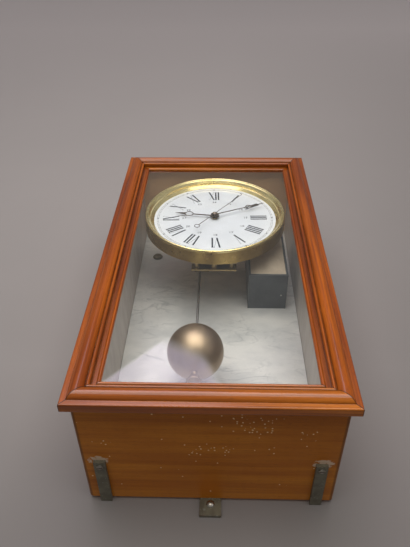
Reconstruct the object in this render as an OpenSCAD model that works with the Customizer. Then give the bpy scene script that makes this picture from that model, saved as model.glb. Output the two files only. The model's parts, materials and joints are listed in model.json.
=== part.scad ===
// Electric wall clock with a half-seconds pendulum in a glazed wooden case.
// The origin is the centre of the hanging hole, on the wall plane.
// X runs to the viewer's right, Y into the wall and Z up.

/* [Dial and drum] */
// Radius of the enamel dial
dial_r = 101.5; // [82:0.5:125]
// Width of the brass ring around the dial
bezel_w = 12.5; // [11:0.5:20]
// Room for the motion work, between the front plate and the dial
motion_room = 12.5; // [10:0.5:16]
// How far the dial lies behind the drum's front rim
dial_sink = 13.5; // [11:0.5:17]
// Thickness of the enamel dial
dial_t = 2; // [1.5:0.1:2.5]

/* [Case] */
// Room between the drum and each case side
side_room = 21; // [16:1:40]
// Room between the drum and the case top
top_room = 28; // [20:0.5:45]
// Height of the ball's centre above the case floor
floor_room = 137.5; // [115:0.5:190]
// Thickness of the side boards
side_t = 16; // [12:0.5:22]
// Thickness of the top and bottom boards
end_t = 16; // [12:0.5:22]
// Thickness of the back board
back_t = 12; // [9:0.5:18]
// Radius on the long outer edges of the top and bottom boards
edge_r = 4; // [2:0.5:7]

/* [Marble] */
// Thickness of the marble panel
marble_t = 22; // [18:1:28]
// Height of the back board's raised battens, behind the marble
batten_h = 6; // [4:0.5:10]
// Width of the raised battens
batten_w = 34; // [30:1:45]
// Gap between the ball and the marble
ball_gap = 21.5; // [12:0.5:35]

/* [Door] */
// Width of the door's moulding, outer edge to sight edge
rail_w = 38.5; // [33:0.5:50]
// Thickness of the door at its lip
lip_t = 12.5; // [10:0.5:16]
// How far the door stands past the case at each side
door_over = 7.5; // [7.5:0.5:12]
// How far the door stands past the case at the top and bottom
door_drop = 9; // [6:0.5:12]
// Radius of the large round on the moulding
bead_r = 9; // [7.5:0.5:11]
// Thickness of the glass
glass_t = 2; // [1.5:0.1:2.4]

/* [Wall fixings] */
// Thickness of the straps and tabs
strap_t = 4; // [3:0.5:6]
// Width of the two straps under the case
strap_w = 14; // [10:1:20]
// Length of a strap along the case bottom, from the wall
strap_run = 80.5; // [50:0.5:120]
// Width of the upper and lower tabs
tab_w = 26.5; // [20:0.5:40]
// How far a tab stands past the case
tab_out = 24; // [21:0.5:32]
// Radius of the hanging hole
hang_r = 3.5; // [2.5:0.1:4.5]

/* [Pendulum] */
// Distance from the flexing point to the ball's centre
pend_len = 249; // [210:1:310]
// Radius of the ball
ball_r = 38.5; // [30:0.5:48]
// Radius of the pendulum rod
rod_r = 1.9; // [1.5:0.1:2.6]
// How far the pendulum hangs to the left of the dial's centre
pend_x = 23; // [17.5:0.5:26]
// Largest swing to each side, in degrees
swing = 4.5; // [3:0.25:5.5]

/* [Movement] */
// Width of the two movement plates
plate_w = 69; // [57:1:84]
// How far the plates reach above the dial's centre
plate_up = 46.5; // [38.5:0.5:56]
// How far the plates reach below the dial's centre
plate_down = 103.5; // [70:0.5:112]
// Thickness of the movement plates
plate_t = 2.5; // [2:0.1:3.5]
// Clear distance between the movement plates
plate_gap = 11.5; // [9.5:0.5:16]
// Radius of the count wheel over its teeth
count_r = 20; // [16.5:0.5:24]
// Angles of the hands, clockwise from twelve: hour, minute, seconds
hand_at = [278, 65.5, 36]; // [0:1:360]

/* [Battery] */
// Width of the battery box
box_w = 62; // [50:1:76]
// Depth of the battery box from the marble
box_d = 69; // [55:1:84]
// Height of the battery box
box_h = 120; // [90:1:145]
// Wall of the battery box
box_wall = 3; // [2:0.5:4]

/* [Hidden] */
$fn = 64;

mahogany = "#8f4f1e";
brass = "#c9a858";
iron = "#5d625a";
steel = "#8c8c8a";

// Running clearance of shafts, and the room left between pieces that pass each other
run_fit = 0.05;
pass_gap = 0.3;

// Depths of the layers, as y coordinates from the wall forwards
case_back = -strap_t;
marble_back = case_back - back_t - batten_h;
marble_face = marble_back - marble_t;
pend_y = marble_face - ball_gap - ball_r;
pend_to_plate = 25.5;
plates_back = pend_y - pend_to_plate;
back_plate_y = plates_back - plate_t;
front_plate_y = back_plate_y - plate_gap - plate_t;
drum_stand = 3.5;
drum_back = front_plate_y - drum_stand;
drum_d = dial_sink + dial_t + motion_room - drum_stand;
drum_front = drum_back - drum_d;
drum_inset = 3;
case_front = drum_front - drum_inset;
door_gap = 0.5;
door_back = case_front - door_gap;
lip_y = door_back - lip_t;
dial_face = drum_front + dial_sink;

// Widths and heights
drum_r = dial_r + bezel_w;
in_w = 2 * (drum_r + side_room);
case_w = in_w + 2 * side_t;
case_d = case_back - case_front;
hang_rise = tab_out - 11;
case_top_z = -hang_rise;
in_top = case_top_z - end_t;
dial_z = in_top - top_room - drum_r;
pivot_z = dial_z - 1.5;
ball_z = pivot_z - pend_len;
in_bottom = ball_z - floor_room;
case_bottom_z = in_bottom - end_t;
door_w = case_w + 2 * door_over;
door_bottom = case_bottom_z - door_drop;
door_h = case_top_z + door_drop - door_bottom;

// Boxes and round bars
module block(x, y, z) {
    translate([min(x), min(y), min(z)])
        cube([max(x) - min(x), max(y) - min(y), max(z) - min(z)]);
}
module front_view(y, x = 0, z = 0) {
    translate([x, max(y), z]) rotate([90, 0, 0]) linear_extrude(max(y) - min(y)) children();
}
module bar_y(r, y, x = 0, z = 0) {
    front_view(y, x, z) circle(r);
}
module pipe_y(r, bore, y, x = 0, z = 0) {
    front_view(y, x, z) difference() {
        circle(r);
        circle(bore);
    }
}
module bar_x(r, x, y, z) {
    translate([min(x), y, z]) rotate([0, 90, 0]) cylinder(r = r, h = max(x) - min(x));
}
module bar_z(r, z, x = 0, y = 0) {
    translate([x, y, min(z)]) cylinder(r = r, h = max(z) - min(z));
}
module both_sides() {
    children();
    mirror([1, 0, 0]) children();
}

// Case boards
module end_board() {
    // Drawn with its outer face at z 0 and its inner face at z end_t
    front_view([case_front, case_back]) union() {
        translate([-case_w / 2, edge_r]) square([case_w, end_t - edge_r]);
        translate([-case_w / 2 + edge_r, 0]) square([case_w - 2 * edge_r, edge_r]);
        for (s = [-1, 1]) translate([s * (case_w / 2 - edge_r), edge_r]) circle(edge_r);
    }
}
module side_board() {
    block([in_w / 2, case_w / 2], [case_front, case_back], [in_bottom, in_top]);
}
hinge_z = [door_bottom + 100, door_bottom + door_h - 100];
hinge_screw_dz = 14;
wood_screw_r = 1.6;
leaf_t = 1.5;
module case_side_left() {
    color(mahogany) difference() {
        mirror([1, 0, 0]) side_board();
        bar_x(hook_pin_r + run_fit, [-case_w / 2 - 1, -case_w / 2 + hook_screw_in], hook_y, hook_z);
    }
}
module case_side_right() {
    color(mahogany) difference() {
        side_board();
        hinge_case_screw_places() bar_x(wood_screw_r + run_fit, [-10, 1], 0, 0);
    }
}
module case_top() {
    color(mahogany) difference() {
        translate([0, 0, case_top_z]) mirror([0, 0, 1]) end_board();
        tab_screw_places() bar_y(strap_screw_r + run_fit, [-back_t + 2, 1]);
    }
}
module case_bottom() {
    color(mahogany) difference() {
        translate([0, 0, case_bottom_z]) end_board();
        both_sides() strap_screw_under() bar_z(strap_screw_r + run_fit, [-1, strap_screw_in]);
        tab_screw_places() bar_y(strap_screw_r + run_fit, [-back_t + 2, 1]);
    }
}
module back_board() {
    color("#7a5432") difference() {
        union() {
            block([-in_w / 2, in_w / 2], [case_back - back_t, case_back], [in_bottom, in_top]);
            both_sides() block([in_w / 2 - batten_w, in_w / 2], [marble_back, case_back - back_t],
                [in_bottom, in_top]);
        }
        marble_screw_places() bar_y(marble_screw_r + run_fit, [marble_back - 1, case_back - 2]);
        both_sides() strap_screw_back() bar_y(strap_screw_r + run_fit, [-back_t + 2, 1]);
        tab_screw_places() bar_y(strap_screw_r + run_fit, [-back_t + 2, 1]);
    }
}

// Marble panel and its four screws with cup washers
marble_screw_r = 2.5;
marble_screw_x = in_w / 2 - batten_w + 5;
cup_r = 9;
cup_t = 3;
module marble_screw_places() {
    for (s = [-1, 1]) for (z = [dial_z + 50, in_bottom + 75])
        translate([s * marble_screw_x, 0, z]) children();
}
module marble_slab() {
    color("#d6d5d0") difference() {
        block([-in_w / 2 + 0.5, in_w / 2 - 0.5], [marble_face, marble_back],
            [in_bottom, in_top - 1]);
        marble_screw_places() bar_y(marble_screw_r + run_fit, [marble_face - 1, marble_back + 1]);
    }
}
module marble_screws() {
    color("#4d4a42") marble_screw_places() {
        difference() {
            translate([0, marble_face, 0]) rotate([90, 0, 0]) rotate_extrude()
                polygon([[0, 0], [cup_r, 0], [cup_r, 0.8], [cup_r - 2, cup_t], [0, cup_t]]);
            block([-cup_r / 2, cup_r / 2], [marble_face - cup_t - 1, marble_face - cup_t + 1],
                [-0.7, 0.7]);
        }
        bar_y(marble_screw_r, [marble_face, case_back - 3]);
    }
}

// Wall straps, tabs and their screws
strap_x = case_w / 2 - 21.5;
strap_leg = 55;
strap_end = case_back + strap_t;
strap_screw_r = 2;
strap_screw_in = 12;
strap_head_r = 4;
strap_head_t = 2;
module strap_screw_under() {
    translate([strap_x, strap_end - strap_run + 8, case_bottom_z]) children();
}
module strap_screw_back() {
    translate([strap_x, case_back, case_bottom_z + strap_leg - 12]) children();
}
module wall_strap() {
    difference() {
        union() {
            block([strap_x - strap_w / 2, strap_x + strap_w / 2],
                [strap_end - strap_run, strap_end], [case_bottom_z - strap_t, case_bottom_z]);
            block([strap_x - strap_w / 2, strap_x + strap_w / 2], [case_back, strap_end],
                [case_bottom_z, case_bottom_z + strap_leg]);
        }
        strap_screw_under() bar_z(strap_screw_r + run_fit, [-strap_t - 1, 1]);
        strap_screw_back() bar_y(strap_screw_r + run_fit, [-1, strap_t + 1]);
        strap_screw_back() bar_y(strap_head_r + run_fit, [strap_t - strap_head_t, strap_t + 1]);
    }
}
module wall_strap_left() {
    color(iron) mirror([1, 0, 0]) wall_strap();
}
module wall_strap_right() {
    color(iron) wall_strap();
}
tab_in = 30;
module tab_screw_places() {
    for (z = [case_top_z - tab_in / 3, case_top_z - tab_in * 2 / 3,
        case_bottom_z + tab_in / 3, case_bottom_z + tab_in * 2 / 3])
        translate([0, case_back, z]) children();
}
module tab_plate(z_end, z_in, hole_z, hole_r) {
    difference() {
        block([-tab_w / 2, tab_w / 2], [case_back, 0], [z_end, z_in]);
        bar_y(hole_r, [case_back - 1, 1], 0, hole_z);
        tab_screw_places() bar_y(strap_screw_r + run_fit, [-1, strap_t + 1]);
        tab_screw_places() bar_y(strap_head_r + run_fit, [strap_t - strap_head_t, strap_t + 1]);
    }
}
steady_r = 2.6;
steady_z = case_bottom_z - 8;
module wall_tab_upper() {
    color(iron) tab_plate(case_top_z - tab_in, case_top_z + tab_out, 0, hang_r);
}
module wall_tab_lower() {
    color(iron) tab_plate(case_bottom_z - tab_out + 1, case_bottom_z + tab_in, steady_z,
        steady_r + run_fit);
}
module steady_screw() {
    color("#b9b4a8") difference() {
        union() {
            bar_y(steady_r, [case_back, 0], 0, steady_z);
            translate([0, case_back, steady_z]) rotate([90, 0, 0]) rotate_extrude() intersection() {
                translate([0, -2.6]) circle(5.9);
                square([5.25, 4]);
            }
        }
        block([-6, 6], [case_back - 4, case_back - 2.3], [steady_z - 0.6, steady_z + 0.6]);
    }
}
module round_head(r, h) {
    // Head on the z 0 plane, crown towards -Z, with its slot
    difference() {
        mirror([0, 0, 1]) rotate_extrude()
            polygon([[0, 0], [r, 0], [r, h * 0.45], [r * 0.6, h], [0, h]]);
        block([-r, r], [-0.5, 0.5], [-h - 1, -h * 0.55]);
    }
}
module case_screws() {
    color("#6d6a60") {
        both_sides() strap_screw_under() {
            translate([0, 0, -strap_t]) round_head(strap_head_r, strap_head_t);
            bar_z(strap_screw_r, [-strap_t, strap_screw_in - 1]);
        }
        both_sides() strap_screw_back() flush_screw();
        tab_screw_places() flush_screw();
        hinge_case_screw_places() {
            bar_x(wood_screw_r, [-9, leaf_t], 0, 0);
            bar_x(2.6, [leaf_t, leaf_t + 1.2], 0, 0);
        }
    }
}
module flush_screw() {
    bar_y(strap_screw_r, [-back_t + 3, strap_t - strap_head_t]);
    bar_y(strap_head_r, [strap_t - strap_head_t, strap_t - 0.2]);
}

// Butt hinges on the right, turning about one vertical line
hinge_x = case_w / 2 + 4.5;
hinge_y = case_front + 4.5;
hinge_h = 40;
knuckle_r = 3;
hinge_pin_r = 1.5;
leaf_d = 18;
module hinge_case_screw_places() {
    for (z = hinge_z) for (s = [-1, 1])
        translate([case_w / 2, hinge_y + 11.5, z + s * hinge_screw_dz]) children();
}
module hinge_knuckle(z) {
    difference() {
        bar_z(knuckle_r, z, hinge_x, hinge_y);
        bar_z(hinge_pin_r + run_fit, [min(z) - 1, max(z) + 1], hinge_x, hinge_y);
    }
}
module hinge_case_leaves() {
    color(brass) difference() {
        for (z = hinge_z) {
            block([case_w / 2, case_w / 2 + leaf_t], [hinge_y + 3.5, hinge_y + leaf_d],
                [z - hinge_h / 2, z + hinge_h / 2]);
            for (s = [-1, 1]) {
                hinge_knuckle([z + s * 7, z + s * hinge_h / 2]);
                difference() {
                    block([case_w / 2, hinge_x - 0.4], [hinge_y + 0.6, hinge_y + 4.5],
                        [z + s * 7, z + s * hinge_h / 2]);
                    bar_z(knuckle_r - 0.4, [z - hinge_h, z + hinge_h], hinge_x, hinge_y);
                }
            }
        }
        hinge_case_screw_places() bar_x(wood_screw_r + run_fit, [-1, leaf_t + 1], 0, 0);
    }
}
module hinge_pins() {
    color(steel) for (z = hinge_z)
        bar_z(hinge_pin_r, [z - hinge_h / 2 - 0.5, z + hinge_h / 2 + 0.5], hinge_x, hinge_y);
}
module hinge_door_screw_places() {
    for (z = hinge_z) for (s = [-1, 1])
        translate([hinge_x, door_back, z + s * hinge_screw_dz]) children();
}
module hinge_door_leaves() {
    color(brass) difference() {
        for (z = hinge_z) {
            block([case_w / 2 + 0.5, door_w / 2 - 0.5], [door_back, door_back + leaf_t],
                [z - hinge_h / 2, z + hinge_h / 2]);
            hinge_knuckle([z - 6.7, z + 6.7]);
            difference() {
                block([hinge_x - 1.5, hinge_x + 1.5], [door_back + leaf_t - 0.1, hinge_y],
                    [z - 6.7, z + 6.7]);
                bar_z(knuckle_r - 0.4, [z - 8, z + 8], hinge_x, hinge_y);
            }
        }
        hinge_door_screw_places() {
            bar_y(1.2 + run_fit, [-1, leaf_t + 1]);
            bar_y(2.2 + run_fit, [leaf_t - 0.8, leaf_t + 1]);
        }
    }
}
module hinge_door_screws() {
    color(brass) hinge_door_screw_places() {
        bar_y(1.2, [-8, leaf_t - 0.8]);
        bar_y(2.2, [leaf_t - 0.8, leaf_t - 0.1]);
    }
}

// Door frame of one moulding, mitred at the corners
lip_w = 7;
bead_sink = 3;
bead_half = sqrt(bead_r * bead_r - bead_sink * bead_sink);
bead_u = lip_w + bead_half;
quirk_u = bead_u + bead_half + 2.2;
glass_y = lip_t - 4.3;
sight_r = 2.4;
sight_v = glass_y - 1;
sight_u = rail_w - sight_r - 0.3;
back_round = 2.5;
rebate_w = 6;
module moulding() {
    // X is the distance from the outer edge, Y the depth behind the lip's face
    difference() {
        union() {
            translate([1.5, 0]) square([quirk_u - 2.2, lip_t - 3]);
            translate([back_round, 3]) square([quirk_u - 3.2, lip_t - 3]);
            translate([0, 1.5]) square([4, lip_t - 1.5 - back_round]);
            translate([1.5, 1.5]) circle(1.5);
            translate([back_round, lip_t - back_round]) circle(back_round);
            intersection() {
                translate([bead_u, bead_sink]) circle(bead_r);
                translate([0, -20]) square([rail_w, 24]);
            }
            translate([4, 0.6]) square([quirk_u - 2, lip_t - 0.6]);
            translate([quirk_u, 0.6]) circle(2);
            translate([quirk_u, 6]) square([rail_w - quirk_u - 3, lip_t - 6]);
            translate([sight_u, sight_v]) circle(sight_r);
            translate([sight_u, sight_v]) square([rail_w - sight_u, lip_t - sight_v]);
        }
        translate([rail_w - rebate_w, glass_y]) square([rebate_w + 1, lip_t]);
    }
}
module door_member(length) {
    // Runs up Z, its outer edge on x 0 and its lip on y 0
    difference() {
        linear_extrude(length) moulding();
        front_view([-20, 30]) polygon([[0, 0], [rail_w + 1, rail_w + 1], [rail_w + 1, -1], [0, -1]]);
        front_view([-20, 30], 0, length)
            polygon([[0, 0], [rail_w + 1, -rail_w - 1], [rail_w + 1, 1], [0, 1]]);
    }
}
module door_corner_place() {
    translate([-door_w / 2, lip_y, door_bottom]) children();
}
module door_stile_left() {
    color("#a85c22") difference() {
        door_corner_place() door_member(door_h);
        bar_y(1.2 + run_fit, [door_back - 7, door_back + 1], stud_x, hook_z);
    }
}
module door_stile_right() {
    color("#a85c22") difference() {
        mirror([1, 0, 0]) door_corner_place() door_member(door_h);
        hinge_door_screw_places() bar_y(1.2 + run_fit, [-8.5, 1]);
    }
}
module door_rail_bottom() {
    color("#9c5420") door_corner_place() mirror([1, 0, -1]) door_member(door_w);
}
module door_rail_top() {
    color("#b0642a") translate([0, 0, 2 * door_bottom + door_h]) mirror([0, 0, 1])
        door_corner_place() mirror([1, 0, -1]) door_member(door_w);
}
glass_in = rail_w - rebate_w + 0.5;
module door_glass() {
    color("#b8c4c4", 0.25) block([-door_w / 2 + glass_in, door_w / 2 - glass_in],
        [lip_y + glass_y, lip_y + glass_y + glass_t],
        [door_bottom + glass_in, door_bottom + door_h - glass_in]);
}
module glass_beads() {
    bead_y = [lip_y + glass_y + glass_t, door_back];
    outer = door_w / 2 - rail_w + rebate_w;
    low = door_bottom + rail_w - rebate_w;
    high = door_bottom + door_h - rail_w + rebate_w;
    color(mahogany) {
        both_sides() block([outer - 5, outer], bead_y, [low, high]);
        block([-outer + 5.1, outer - 5.1], bead_y, [low, low + 5]);
        block([-outer + 5.1, outer - 5.1], bead_y, [high - 5, high]);
    }
}

// Side hook on the left, which turns up to catch a pin on the door's overhang
hook_reach = 22;
hook_y = case_front + 28;
hook_z = case_bottom_z + 280;
hook_pin_r = 1.6;
hook_t = 1.6;
hook_x = -case_w / 2 - pass_gap;
hook_screw_in = 12;
stud_pin_r = 1.25;
stud_x = -case_w / 2 - 5.5;
module hook_screw() {
    color(brass) {
        bar_x(hook_pin_r, [hook_x - hook_t - 0.3, -case_w / 2 + hook_screw_in - 1], hook_y, hook_z);
        bar_x(3.2, [hook_x - hook_t - 1.5, hook_x - hook_t - 0.2], hook_y, hook_z);
    }
}
module door_hook() {
    // Hangs straight down from its screw
    color(brass) translate([hook_x, hook_y, hook_z]) rotate([0, -90, 0]) linear_extrude(hook_t)
        difference() {
            union() {
                circle(4.5);
                translate([-hook_reach - 4.5, -4.5]) square([hook_reach + 4.5, 6.5]);
            }
            circle(hook_pin_r + run_fit);
            translate([-hook_reach, -1.2]) circle(stud_pin_r + 0.3);
            translate([-hook_reach - stud_pin_r - 0.3, -5]) square([2 * stud_pin_r + 0.6, 3.8]);
        }
}
module hook_stud() {
    color(brass) {
        block([stud_x - 2, stud_x + 2.5], [door_back, door_back + 8.4], [hook_z - 3, hook_z + 3]);
        bar_x(stud_pin_r, [stud_x + 2, -case_w / 2 - 0.3], hook_y - hook_reach, hook_z + 1.2);
        bar_y(1.2, [door_back - 6.5, door_back], stud_x, hook_z);
    }
}

// Drum, bezel, dial and posts
band_t = 1.5;
drum_hole_r = 32;
post_r = 3;
post_at = [[-28, 26], [28, 26], [0, -42]];
module post_places() {
    for (p = post_at) translate([p[0], 0, dial_z + p[1]]) children();
}
module ring_about_dial() {
    // Turned outline: x is the radius and y the distance in front of the drum's back
    translate([0, drum_back, dial_z]) rotate([90, 0, 0]) rotate_extrude($fn = 128) children();
}
module dial_drum() {
    color(brass) difference() {
        ring_about_dial() union() {
            translate([drum_r - band_t, 0]) square([band_t, drum_d - 4]);
            translate([drum_hole_r, 0]) square([drum_r - drum_hole_r, 2]);
        }
        post_places() bar_y(post_r + run_fit, [drum_back - 3, drum_back + 1]);
    }
}
module dial_bezel() {
    seat = drum_d - dial_sink;
    rim = [for (a = [-15:15:165]) [drum_r - 2 + 2 * cos(a), drum_d - 2 + 2 * sin(a)]];
    color("#d8bf6c") ring_about_dial() polygon(concat(rim, [[drum_r - 5.4, drum_d - 2.2],
        [drum_r - 6.5, drum_d - 3.6], [dial_r + 4.2, seat + 7.6], [dial_r + 3.5, seat + 4.9],
        [dial_r + 2.5, seat + 4.5], [dial_r - 1.5, seat + 0.9], [dial_r - 1.5, seat + 0.05],
        [dial_r + 4.5, seat + 2], [drum_r - band_t - 0.1, drum_d - 6],
        [drum_r - band_t - 0.1, drum_d - 4], [drum_r, drum_d - 4]]));
}
module enamel_dial() {
    color("#f2f1ee") pipe_y(dial_r, 4.6, [dial_face, dial_face + dial_t], 0, dial_z);
}
module dial_posts() {
    color(brass) post_places() difference() {
        bar_y(post_r, [dial_face + dial_t, front_plate_y]);
    }
}

// Toothed outlines, with a tooth centred at "first", clockwise from the top
function tooth(n, k) = [-0.25, -0.1, 0.1, 0.25][k] * 360 / n;
function gear_r(n, m) = m * n / 2;
function gear_outline(n, m, first) = [for (i = [0:n - 1]) for (k = [0:3])
    let (a = first + i * 360 / n + tooth(n, k))
    let (r = gear_r(n, m) + m * (k == 1 || k == 2 ? 0.75 : -1.1)) [r * sin(a), r * cos(a)]];
function ratchet_outline(n, r, depth) = [for (i = [0:n - 1]) for (k = [0:1])
    let (a = (i + k * 0.15) * 360 / n) let (q = k == 0 ? r : r - depth) [q * sin(a), q * cos(a)]];
module gear(n, m, first, y, bore, x = 0, z = 0) {
    front_view(y, x, z) difference() {
        polygon(gear_outline(n, m, first));
        circle(bore);
    }
}

// Layers of the works, forwards from the back plate and back from the front plate
sec_r = 1;
pipe_r = 2;
cannon_r = 3;
hour_r = 4.2;
going_m = 0.55;
slow_m = going_m * 72 / 68;
motion_m = 0.6;
hour_m = motion_m * 48 / 50;
third_z = dial_z + going_m * 36;
min_dir = 120;
min_x = motion_m * 24 * sin(min_dir);
min_z = dial_z + motion_m * 24 * cos(min_dir);
hand_y = [dial_face - 4.1, dial_face - 6.6, dial_face - 8.6];
hub_r = 7.5;
module pivot_holes(y) {
    bar_y(pipe_r + run_fit, y, 0, dial_z);
    bar_y(0.8 + run_fit, y, 0, third_z);
}
pillar_r = 4;
plate_h = plate_up + plate_down;
pillar_at = [plate_w / 2 - 8, plate_h / 2 - 8];
plate_mid = dial_z + (plate_up - plate_down) / 2;
module pillar_places() {
    for (sx = [-1, 1]) for (sz = [-1, 1])
        translate([sx * pillar_at[0], 0, plate_mid + sz * pillar_at[1]]) children();
}
module plate_outline(y) {
    block([-plate_w / 2, plate_w / 2], y, [plate_mid - plate_h / 2, plate_mid + plate_h / 2]);
}
module movement_front_plate() {
    y = [front_plate_y, front_plate_y + plate_t];
    color(brass) difference() {
        plate_outline(y);
        pivot_holes([y[0] - 1, y[1] + 1]);
        bar_y(0.8 + run_fit, [y[0] - 1, y[1] + 1], min_x, min_z);
        pillar_places() bar_y(1.5 + run_fit, [y[0] - 1, y[1] + 1]);
    }
}
module movement_back_plate() {
    y = [back_plate_y, plates_back];
    color(brass) difference() {
        plate_outline(y);
        bar_y(sec_r + run_fit, [y[0] - 1, y[1] + 1], 0, dial_z);
        bar_y(0.8 + run_fit, [y[0] - 1, y[1] + 1], 0, third_z);
        pillar_places() bar_y(1.5 + run_fit, [y[0] - 1, y[1] + 1]);
    }
}
module plate_pillars() {
    color("#d8bf6c") pillar_places() {
        bar_y(pillar_r, [front_plate_y + plate_t, back_plate_y]);
        bar_y(1.5, [front_plate_y - 0.8, plates_back + 0.8]);
    }
    color("#d8bf6c") bar_y(pillar_r + 1, [front_plate_y + plate_t, back_plate_y], 0,
        plate_mid - pillar_at[1]);
}
arm_flange_r = 11;
arm_x = plate_w / 2 - 17;
arm_z = plate_mid + plate_h / 2 - 9;
arm_r = 5;
yoke_h = 6;
coil_z = [arm_z - arm_r - yoke_h - 37.5, arm_z - arm_r - yoke_h - 6.5];
armature_pin = [46, coil_z[0] - 9];
module movement_arms() {
    color(brass) both_sides() {
        bar_y(arm_r, [plates_back, marble_face - 4], arm_x, arm_z);
        bar_y(arm_flange_r, [marble_face - 4, marble_face], arm_x, arm_z);
    }
}

// Going train: seconds arbor, third wheel, centre wheel
seconds_pinion_y = [back_plate_y - 5, back_plate_y - 1];
third_wheel_y = [back_plate_y - 4, back_plate_y - 2];
third_pinion_y = [front_plate_y + plate_t + 1, back_plate_y - 4];
centre_wheel_y = [front_plate_y + plate_t + 2, front_plate_y + plate_t + 4];
count_wheel_y = [plates_back + 3, plates_back + 4.5];
module seconds_arbor() {
    color(steel) {
        bar_y(sec_r, [hand_y[2] - 0.2, plates_back + 6], 0, dial_z);
        gear(8, going_m, 0, seconds_pinion_y, sec_r - 0.2, 0, dial_z);
        bar_y(3, [plates_back + 1, count_wheel_y[0]], 0, dial_z);
    }
}
module count_wheel() {
    color(brass) front_view(count_wheel_y, 0, dial_z) difference() {
        polygon(ratchet_outline(60, count_r, 1.1));
        for (a = [0:72:288]) rotate(a) translate([0, count_r * 0.55]) circle(count_r * 0.2);
        circle(sec_r + 0.01);
    }
}
module third_wheel() {
    color(brass) {
        gear(64, going_m, 180 + 180 / 64, third_wheel_y, 0.6, 0, third_z);
        gear(8, slow_m, 180, third_pinion_y, 0.6, 0, third_z);
        bar_y(0.8, [front_plate_y + 0.3, plates_back - 0.3], 0, third_z);
    }
}
module centre_wheel() {
    color(brass) difference() {
        union() {
            gear(60, slow_m, 180 / 60, centre_wheel_y, 1.5, 0, dial_z);
            bar_y(pipe_r, [hand_y[1] - 1.2, centre_wheel_y[1]], 0, dial_z);
            bar_y(3.5, [centre_wheel_y[0] - 1.5, centre_wheel_y[0]], 0, dial_z);
        }
        bar_y(sec_r + run_fit, [hand_y[1] - 3, centre_wheel_y[1] + 1], 0, dial_z);
    }
}

// Motion work under the dial
cannon_y = [front_plate_y - 3.5, front_plate_y - 0.5];
minute_pinion_y = [front_plate_y - 7.5, cannon_y[0] + 0.5];
minute_wheel_y = [cannon_y[0] + 0.5, cannon_y[1] - 0.5];
hour_wheel_y = [minute_pinion_y[0] + 0.5, minute_pinion_y[0] + 2];
module cannon_pinion() {
    color(steel) difference() {
        union() {
            gear(12, motion_m, min_dir, cannon_y, pipe_r, 0, dial_z);
            pipe_y(cannon_r, pipe_r, [hand_y[1] - 1, cannon_y[0]], 0, dial_z);
        }
        bar_y(pipe_r + 0.02, [hand_y[1] - 3, front_plate_y], 0, dial_z);
    }
}
module minute_wheel() {
    color(brass) {
        gear(36, motion_m, min_dir + 180 + 180 / 36, minute_wheel_y, 0.6, min_x, min_z);
        gear(10, hour_m, min_dir + 180, minute_pinion_y, 0.6, min_x, min_z);
        bar_y(0.8, [minute_pinion_y[0] - 1, front_plate_y + plate_t - 0.3], min_x, min_z);
    }
}
module hour_wheel() {
    color(brass) difference() {
        union() {
            gear(40, hour_m, min_dir + 180 / 40, hour_wheel_y, cannon_r, 0, dial_z);
            bar_y(hour_r, [hand_y[0] - 0.6, hour_wheel_y[0]], 0, dial_z);
        }
        bar_y(cannon_r + run_fit, [hand_y[0] - 2, hour_wheel_y[1] + 1], 0, dial_z);
    }
}

// Hands: a tapered blade with a ring near its tip, drawn pointing up
module ring_hand(length, ring_at, ring_r, root_w, tip_w) {
    difference() {
        union() {
            polygon([[-root_w / 2, 0], [root_w / 2, 0], [tip_w / 2, ring_at], [-tip_w / 2, ring_at]]);
            translate([0, ring_at]) circle(ring_r);
            polygon([[-ring_r * 0.45, ring_at + ring_r * 0.8], [ring_r * 0.45, ring_at + ring_r * 0.8],
                [0.25, length], [-0.25, length]]);
        }
        translate([0, ring_at]) circle(ring_r - ring_wall);
    }
}
hand_t = 0.6;
ring_wall = 1.4;
hour_len = 0.65 * dial_r;
minute_len = 0.89 * dial_r;
seconds_len = 0.8 * dial_r;
module hand_place(layer, angle) {
    front_view([hand_y[layer] - hand_t, hand_y[layer]], 0, dial_z) rotate(-angle) children();
}
module hour_hand() {
    color("#3a322c") hand_place(0, hand_at[0]) difference() {
        union() {
            ring_hand(hour_len, hour_len * 0.65, 7.2, 3, 2);
            circle(hub_r);
        }
        circle(hour_r + 0.01);
    }
}
module minute_hand() {
    color("#3a322c") hand_place(1, hand_at[1]) difference() {
        union() {
            ring_hand(minute_len, minute_len * 0.68, 5, 2.4, 1.4);
            circle(hub_r - 1);
        }
        circle(cannon_r + 0.01);
    }
}
module seconds_hand() {
    color("#3a322c") {
        hand_place(2, hand_at[2]) difference() {
            union() {
                polygon([[-0.5, -0.55 * seconds_len], [0.5, -0.55 * seconds_len], [0.2, seconds_len],
                    [-0.2, seconds_len]]);
                translate([0, -0.58 * seconds_len]) circle(4.6);
            }
            translate([0, -0.58 * seconds_len]) circle(3.7);
            circle(sec_r + 0.01);
        }
        translate([0, hand_y[2], dial_z]) rotate([90, 0, 0]) rotate_extrude() difference() {
            intersection() {
                translate([0, -2.4]) circle(5);
                translate([0, 0]) square([4.4, 4]);
            }
            square([sec_r + 0.01, 0.9]);
        }
    }
}

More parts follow.
